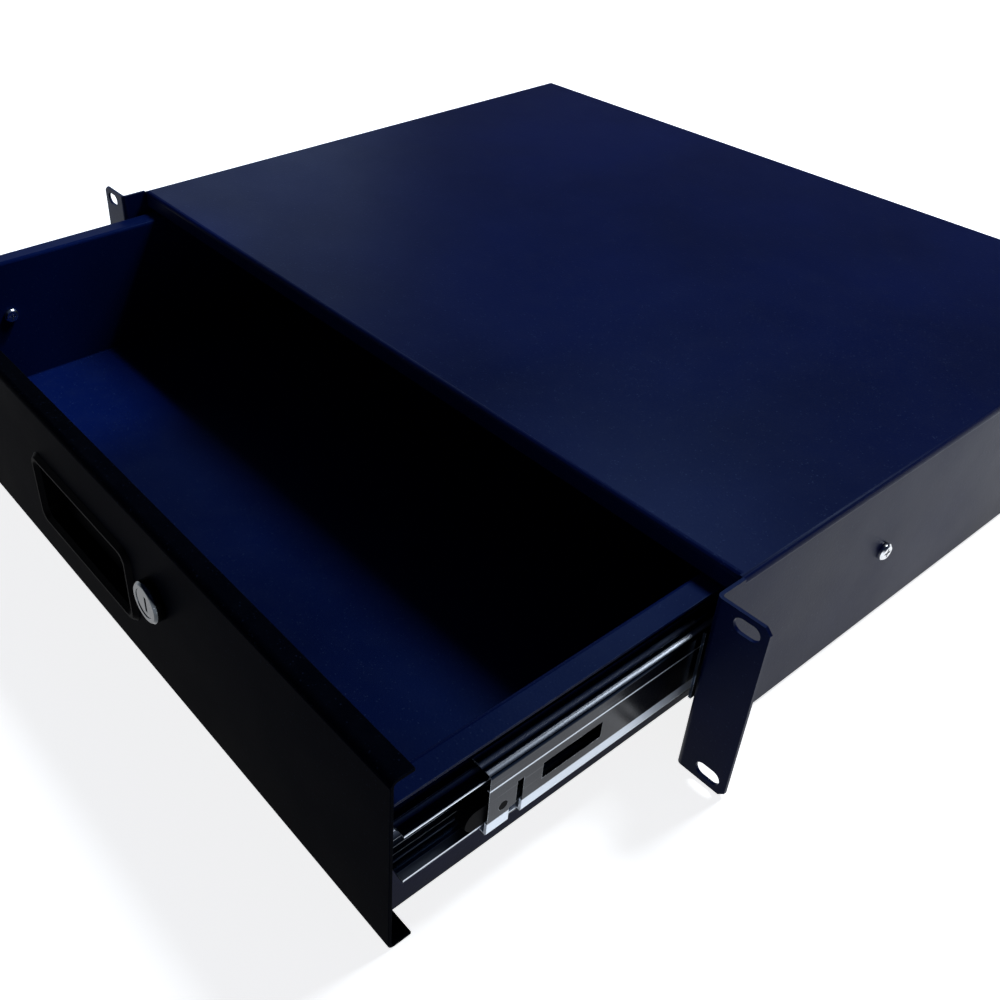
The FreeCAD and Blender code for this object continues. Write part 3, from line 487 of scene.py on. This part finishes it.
@dataclass(frozen=True)
class PowderCoat:
    """Blue-black powder paint baked on sheet steel."""

    name: str = "powder_coat"
    colour: Colour = (0.0010, 0.0034, 0.0260)
    shade: Colour = (0.0014, 0.0046, 0.0360)
    fleck: Colour = (0.045, 0.065, 0.130)
    # Colour on the rubbed rims: edge wear here, and a painted highlight line in the tray's copy.
    edge_colour: Colour = (0.016, 0.024, 0.045)
    dust: Colour = (0.030, 0.036, 0.048)
    tint: Colour = (0.35, 0.55, 1.0)
    roughness: float = 0.38
    gloss: float = 0.045
    rub_polish: float = 0.12
    skin_scale: float = 900.0
    skin_depth: float = 0.03 * MM
    flecks: float = 0.3
    wear_radius: float = 0.5 * MM
    wear: float = 0.55
    dust_scale: float = 70.0
    dusty: float = 0.05
    smudge_scale: float = 22.0
    smudges: float = 0.16

    def build(self, effects: Effects) -> bpy.types.Material:
        """Builds the material.

        Args:
            effects: the shared effects.

        Returns:
            The material.
        """
        sheet = FinishSheet(self.name)
        skin = sheet.effect(effects.grain, Scale=self.skin_scale, Flecks=self.flecks)
        rims = sheet.effect(effects.wear, Radius=self.wear_radius, Amount=self.wear)
        lying = sheet.effect(effects.dust, Amount=self.dusty, Scale=self.dust_scale)
        patches = sheet.effect(effects.smudge, Scale=self.smudge_scale, Amount=self.smudges)
        tone = sheet.blend(skin["Shade"], self.colour, self.shade)
        tone = sheet.blend(skin["Fleck"], tone, self.fleck)
        tone = sheet.blend(rims["Mask"], tone, self.edge_colour)
        sheet.feed("Base Color", sheet.blend(lying["Mask"], tone, self.dust))
        rough = sheet.math("ADD", patches["Change"], self.roughness)
        polish = sheet.math("MULTIPLY", rims["Mask"], self.rub_polish)
        sheet.feed("Roughness", sheet.math("SUBTRACT", rough, polish))
        sheet.bump(skin["Height"], self.skin_depth)
        sheet.fix(Specular_IOR_Level=self.gloss, Specular_Tint=(*self.tint, 1.0))
        return sheet.material


@dataclass(frozen=True)
class RolledSteel:
    """Bare or plated metal with the lines of its rolling, and bands of painted highlight along bends and
    races.
    """

    name: str
    colour: Colour
    # Colour of worn rims and scratches; on the banded slide members it is also the colour of the painted
    # highlight bands.
    worn_and_highlight: Colour
    roughness: float
    lay: Lay = Lay.NONE
    line_depth: float = 0.004 * MM
    wear_radius: float = 0.4 * MM
    wear: float = 0.8
    smudge_scale: float = 60.0
    smudges: float = 0.12
    scratched: float = 0.4
    satin: float = 0.30
    highlight_bands: tuple[Band, ...] = ()

    def build(self, effects: Effects) -> bpy.types.Material:
        """Builds the material.

        Args:
            effects: the shared effects.

        Returns:
            The material.
        """
        sheet = FinishSheet(self.name)
        along_x, along_y, along_z = self.lay.value
        lines = sheet.effect(effects.drawn, Along_X=along_x, Along_Y=along_y, Along_Z=along_z)
        rims = sheet.effect(effects.wear, Radius=self.wear_radius, Amount=self.wear)
        patches = sheet.effect(effects.smudge, Scale=self.smudge_scale, Amount=self.smudges)
        scratches = sheet.math("MULTIPLY", lines["Scratch"], self.scratched)
        tone = sheet.blend(scratches, self.colour, self.worn_and_highlight)
        tone = sheet.blend(rims["Mask"], tone, self.worn_and_highlight)
        rough = sheet.math("ADD", patches["Change"], self.roughness)
        # Each listed band paints a highlight strip in the pale second colour and roughens the surface
        # there.
        for low, high in self.highlight_bands:
            highlight_band = sheet.effect(effects.highlight_band, Low=low * MM, High=high * MM)["Mask"]
            tone = sheet.blend(highlight_band, tone, self.worn_and_highlight)
            rough = sheet.math("ADD", rough, sheet.math("MULTIPLY", highlight_band, self.satin))
        sheet.feed("Base Color", tone)
        sheet.feed("Roughness", rough)
        sheet.bump(lines["Height"], self.line_depth)
        sheet.fix(Metallic=1.0)
        return sheet.material


@dataclass(frozen=True)
class MouldedPlastic:
    """Satin black moulding with a faintly sparked surface."""

    name: str = "moulded_plastic"
    colour: Colour = (0.0014, 0.0016, 0.0024)
    edge_colour: Colour = (0.012, 0.013, 0.017)
    roughness: float = 0.46
    gloss: float = 0.01
    spark_scale: float = 2600.0
    spark_depth: float = 0.02 * MM
    wear_radius: float = 0.4 * MM
    wear: float = 0.5
    smudge_scale: float = 50.0
    smudges: float = 0.12

    def build(self, effects: Effects) -> bpy.types.Material:
        """Builds the material.

        Args:
            effects: the shared effects.

        Returns:
            The material.
        """
        sheet = FinishSheet(self.name)
        skin = sheet.effect(effects.grain, Scale=self.spark_scale)
        rims = sheet.effect(effects.wear, Radius=self.wear_radius, Amount=self.wear)
        patches = sheet.effect(effects.smudge, Scale=self.smudge_scale, Amount=self.smudges)
        sheet.feed("Base Color", sheet.blend(rims["Mask"], self.colour, self.edge_colour))
        sheet.feed("Roughness", sheet.math("ADD", patches["Change"], self.roughness))
        sheet.bump(skin["Height"], self.spark_depth)
        sheet.fix(Specular_IOR_Level=self.gloss)
        return sheet.material


@dataclass(frozen=True)
class StudioFloor:
    """Pale studio floor that turns white in the picture and keeps the object's shadow."""

    name: str = "studio_floor"
    colour: Colour = (0.90, 0.90, 0.90)
    roughness: float = 0.9
    lift: float = 0.85

    def build(self) -> bpy.types.Material:
        """Builds the material.

        Returns:
            The material.
        """
        sheet = FinishSheet(self.name)
        sheet.fix(Base_Color=(*self.colour, 1.0), Roughness=self.roughness, Specular_IOR_Level=0.0,
                  Emission_Color=(*WHITE, 1.0))
        path = sheet.add("ShaderNodeLightPath").outputs
        seen = sheet.math("MAXIMUM", path["Is Camera Ray"], path["Is Glossy Ray"])
        seen = sheet.math("MAXIMUM", seen, path["Is Transmission Ray"])
        sheet.feed("Emission Strength", sheet.math("MULTIPLY", seen, self.lift))
        return sheet.material


Finish = PowderCoat | RolledSteel | MouldedPlastic

FINISHES: tuple[Finish, ...] = (
    PowderCoat(),
    # The front panel's copy of the coat is darker and greyer than the rest, a painted shade on the panel
    # face, and it is made almost without gloss.
    PowderCoat(
        name="powder_coat_panel_painted_shade", colour=(0.0004, 0.0007, 0.0020), shade=(0.0006, 0.0010, 0.0030),
        roughness=0.46, flecks=0.12, gloss=0.002, dusty=0.03),
    # The tray's edge colour is far paler than wear: on the rubbed-rim mask it paints a highlight line
    # along the tray's bends and lips.
    PowderCoat(
        name="powder_coat_tray", colour=(0.0009, 0.0038, 0.0270), shade=(0.0014, 0.0056, 0.0400),
        edge_colour=(0.060, 0.080, 0.130), roughness=0.36, gloss=0.02, flecks=0.2),
    RolledSteel(
        name="slide_steel", colour=(0.012, 0.020, 0.038), worn_and_highlight=(0.42, 0.47, 0.54),
        roughness=0.20, lay=Lay.ALONG_Y, scratched=0.15),
    # The middle and drawer members carry bands of painted highlight in their pale second colour.
    RolledSteel(
        name="middle_member_steel", colour=(0.002, 0.005, 0.012), worn_and_highlight=(0.70, 0.76, 0.84),
        roughness=0.22, lay=Lay.ALONG_Y, scratched=0.04, highlight_bands=MIDDLE_MEMBER_HIGHLIGHT_BANDS),
    RolledSteel(
        name="drawer_member_steel", colour=(0.020, 0.032, 0.060), worn_and_highlight=(0.80, 0.86, 0.94),
        roughness=0.22, lay=Lay.ALONG_Y, scratched=0.10, highlight_bands=DRAWER_MEMBER_HIGHLIGHT_BANDS),
    RolledSteel(
        name="cage_steel", colour=(0.30, 0.31, 0.33), worn_and_highlight=(0.60, 0.60, 0.62),
        roughness=0.34, lay=Lay.ALONG_Y),
    RolledSteel(
        name="ball_steel", colour=(0.72, 0.74, 0.77), worn_and_highlight=(0.85, 0.86, 0.88),
        roughness=0.08, line_depth=0.0, smudges=0.03),
    RolledSteel(
        name="bright_zinc", colour=(0.55, 0.57, 0.60), worn_and_highlight=(0.78, 0.80, 0.82),
        roughness=0.30, lay=Lay.ALONG_X),
    RolledSteel(
        name="lock_chrome", colour=(0.075, 0.085, 0.095), worn_and_highlight=(0.50, 0.54, 0.58),
        roughness=0.10, line_depth=0.001 * MM, smudges=0.06),
    RolledSteel(
        name="screw_nickel", colour=(0.66, 0.67, 0.68), worn_and_highlight=(0.85, 0.86, 0.88),
        roughness=0.22, line_depth=0.002 * MM, smudges=0.08),
    MouldedPlastic(),
    MouldedPlastic(
        name="lever_plastic", colour=(0.0030, 0.0030, 0.0034), roughness=0.40, gloss=0.25),
)


# ---------------------------------------------------------------- dressing


@dataclass(frozen=True)
class SoftEdges:
    """Small rounding of a piece's sharp edges, on faces that are first joined and cleaned."""

    width_mm: float
    steps: int = 2
    sharp_degrees: float = 32.0
    weld_distance: float = 0.002 * MM
    flat_degrees: float = 0.4

    def put_on(self, node: bpy.types.Object) -> None:
        """Adds the modifiers to a piece.

        Args:
            node: the piece.
        """
        weld = node.modifiers.new("joined_faces", "WELD")
        weld.merge_threshold = self.weld_distance
        planar = node.modifiers.new("clean_faces", "DECIMATE")
        planar.decimate_type = "DISSOLVE"
        planar.angle_limit = math.radians(self.flat_degrees)
        bevel = node.modifiers.new("soft_edges", "BEVEL")
        bevel.width = self.width_mm * MM
        bevel.segments = self.steps
        bevel.limit_method = "ANGLE"
        bevel.angle_limit = math.radians(self.sharp_degrees)
        bevel.use_clamp_overlap = True
        bevel.harden_normals = True


@dataclass
class SubAssembly:
    """A group of pieces that are dressed together."""

    finishes: dict[str, bpy.types.Material]

    def dress(self, name: str, finish: str, soft_mm: float = 0.0) -> None:
        """Gives a piece its finish and its soft edges.

        Args:
            name: the piece.
            finish: its finish.
            soft_mm: the width of its rounded edges, or 0 for none.
        """
        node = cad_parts[name]
        node.data.materials.clear()
        node.data.materials.append(self.finishes[finish])
        if soft_mm > 0:
            SoftEdges(soft_mm).put_on(node)
        log.info("dressed %s with %s", name, finish)


@dataclass
class Chassis(SubAssembly):
    """Cover, side walls, ears, rear panel and what is screwed to them."""

    sheet_edge: float = 0.28
    screw_edge: float = 0.15

    def build(self) -> None:
        """Dresses the chassis."""
        self.dress("chassis_shell", "powder_coat", self.sheet_edge)
        self.dress("rear_panel", "powder_coat", self.sheet_edge)
        self.dress("spacer_bushes", "bright_zinc", self.screw_edge)
        self.dress("chassis_screws", "screw_nickel", self.screw_edge)
        self.dress("rear_bumpers", "moulded_plastic", self.sheet_edge)


@dataclass
class TelescopicSlide(SubAssembly):
    """One slide: three members, two cages with their balls, bumper and release lever."""

    side: Side
    member_edge: float = 0.22

    def build(self) -> None:
        """Dresses the slide."""
        tag = self.side.value
        self.dress(f"cabinet_member_{tag}", "slide_steel", self.member_edge)
        self.dress(f"middle_member_{tag}", "middle_member_steel", self.member_edge)
        self.dress(f"drawer_member_{tag}", "drawer_member_steel", self.member_edge)
        for row in ("outer", "inner"):
            self.dress(f"{row}_cage_{tag}", "cage_steel")
            self.dress(f"{row}_balls_{tag}", "ball_steel")
        self.dress(f"front_bumper_{tag}", "moulded_plastic", self.member_edge)
        self.dress(f"release_lever_{tag}", "lever_plastic", self.member_edge)


@dataclass
class Drawer(SubAssembly):
    """Tray, back, front panel, handle cup and what fastens them."""

    sheet_edge: float = 0.25
    screw_edge: float = 0.15

    def build(self) -> None:
        """Dresses the drawer."""
        self.dress("drawer_tray", "powder_coat_tray", self.sheet_edge)
        self.dress("drawer_back", "powder_coat_tray", self.sheet_edge)
        self.dress("front_panel", "powder_coat_panel_painted_shade", self.sheet_edge)
        self.dress("handle_cup", "moulded_plastic", self.sheet_edge)
        self.dress("drawer_screws", "screw_nickel", self.screw_edge)
        self.dress("lever_rivets", "bright_zinc", self.screw_edge)


@dataclass
class CamLock(SubAssembly):
    """Chromed lock head, plug, cam, nut and screw."""

    head_edge: float = 0.15
    plug_edge: float = 0.12
    nut_edge: float = 0.2

    def build(self) -> None:
        """Dresses the lock."""
        self.dress("lock_barrel", "lock_chrome", self.head_edge)
        self.dress("lock_plug", "lock_chrome", self.plug_edge)
        self.dress("lock_nut", "bright_zinc", self.nut_edge)
        self.dress("lock_cam", "bright_zinc", self.nut_edge)
        self.dress("cam_screw", "screw_nickel", self.plug_edge)


# ---------------------------------------------------------------- studio


@dataclass(frozen=True)
class SoftLamp:
    """A square soft lamp."""

    name: str
    place: Place
    target: Place
    watts: float
    colour: Colour
    size: float

    def light(self) -> bpy.types.Light:
        """Makes the lamp's light.

        Returns:
            The light.
        """
        data = bpy.data.lights.new(self.name, "AREA")
        data.size = self.size
        return data


@dataclass(frozen=True)
class SpotLamp:
    """A narrow lamp whose cone fades to its rim."""

    name: str
    place: Place
    target: Place
    watts: float
    colour: Colour
    cone_degrees: float
    radius: float

    def light(self) -> bpy.types.Light:
        """Makes the lamp's light.

        Returns:
            The light.
        """
        data = bpy.data.lights.new(self.name, "SPOT")
        data.spot_size = math.radians(self.cone_degrees)
        data.spot_blend = 1.0
        data.shadow_soft_size = self.radius
        return data


DRAWER_MIDDLE: Place = (0.0, 0.05, 0.0)
TRAY_LEFT_FRONT: Place = (-0.165, -0.088, -0.035)

LAMPS: tuple[SoftLamp | SpotLamp, ...] = (
    SoftLamp("key_lamp", (0.20, 0.80, 1.25), DRAWER_MIDDLE, 12.0, (0.88, 0.94, 1.0), size=0.35),
    SoftLamp("near_lamp", (-0.12, 0.42, 0.62), DRAWER_MIDDLE, 2.4, (0.50, 0.70, 1.0), size=0.18),
    SoftLamp("side_lamp", (-1.25, 0.54, 0.62), DRAWER_MIDDLE, 2.4, (0.55, 0.72, 1.0), size=0.8),
    SpotLamp("tray_lamp", (-0.05, 0.42, 0.80), TRAY_LEFT_FRONT, 55.0, (0.45, 0.65, 1.0),
             cone_degrees=9.0, radius=0.03),
)


@dataclass
class Studio:
    """Pale floor, soft lamps and the camera."""

    camera_place: Place = (0.3670, -0.2655, 0.30635)
    camera_heading: float = 51.46
    camera_drop: float = 36.02
    camera_roll: float = 0.40
    lens: float = 39.77
    sensor_width: float = 36.0
    near_limit: float = 0.01
    shift: tuple[float, float] = (0.1157, -0.0419)
    floor_size: float = 40.0
    floor_gap: float = 0.2 * MM
    horizon: Colour = (0.80, 0.84, 0.90)
    ceiling: Colour = (0.012, 0.018, 0.040)
    horizon_height: float = 0.02
    ceiling_height: float = 0.24

    def add_floor(self) -> None:
        """Lays the floor under the chassis."""
        mesh = bpy.data.meshes.new("studio_floor")
        half = self.floor_size / 2
        level = CAD_BOX[0][2] - self.floor_gap
        turns = ((-1, -1), (1, -1), (1, 1), (-1, 1))
        corners = [(across * half, along * half, level) for across, along in turns]
        mesh.from_pydata(corners, [], [(0, 1, 2, 3)])
        floor = bpy.data.objects.new("studio_floor", mesh)
        bpy.context.scene.collection.objects.link(floor)
        mesh.materials.append(StudioFloor().build())
        log.info("laid the floor")

    def add_world(self) -> None:
        """Lights the room: pale near the floor and dark towards the ceiling."""
        world = bpy.data.worlds.new("studio_room")
        world.use_nodes = True
        bpy.context.scene.world = world
        sheet = NodeSheet(world.node_tree)
        direction = sheet.add("ShaderNodeSeparateXYZ")
        sheet.join(sheet.add("ShaderNodeTexCoord").outputs["Generated"], direction.inputs[0])
        upward = sheet.span(direction.outputs["Z"], self.horizon_height, self.ceiling_height)
        sky = sheet.blend(upward, self.horizon, self.ceiling)
        sheet.join(sky, world.node_tree.nodes["Background"].inputs["Color"])
        log.info("lit the room")

    def add_lamp(self, plan: SoftLamp | SpotLamp) -> None:
        """Hangs a lamp and turns it to its target.

        Args:
            plan: the lamp.
        """
        data = plan.light()
        data.energy = plan.watts
        data.color = plan.colour
        lamp = bpy.data.objects.new(plan.name, data)
        lamp.location = plan.place
        lamp.visible_camera = False
        aim = Vector(plan.target) - lamp.location
        lamp.rotation_euler = aim.to_track_quat("-Z", "Y").to_euler()
        bpy.context.scene.collection.objects.link(lamp)
        log.info("hung %s", plan.name)

    def add_camera(self) -> None:
        """Stands the camera at the right front, looking down on the open drawer."""
        data = bpy.data.cameras.new("camera")
        data.sensor_width = self.sensor_width
        data.lens = self.lens
        data.shift_x, data.shift_y = self.shift
        data.clip_start = self.near_limit
        camera = bpy.data.objects.new("camera", data)
        camera.location = self.camera_place
        heading = Matrix.Rotation(math.radians(self.camera_heading), 4, "Z")
        pitch = Matrix.Rotation(math.radians(90.0 - self.camera_drop), 4, "X")
        roll = Matrix.Rotation(math.radians(self.camera_roll), 4, "Z")
        camera.rotation_euler = (heading @ pitch @ roll).to_euler()
        bpy.context.scene.collection.objects.link(camera)
        bpy.context.scene.camera = camera
        log.info("stood the camera")

    def build(self) -> None:
        """Builds the studio."""
        self.add_world()
        self.add_floor()
        for plan in LAMPS:
            self.add_lamp(plan)
        self.add_camera()
        bpy.context.scene.view_settings.view_transform = "Standard"


def main() -> None:
    """Builds every sub-assembly in order."""
    logging.basicConfig(level=logging.INFO, format="%(message)s")
    effects = Effects()
    finishes = {plan.name: plan.build(effects) for plan in FINISHES}
    Chassis(finishes).build()
    for side in Side:
        TelescopicSlide(finishes, side).build()
    Drawer(finishes).build()
    CamLock(finishes).build()
    Studio().build()


if __name__ == "__main__":
    main()
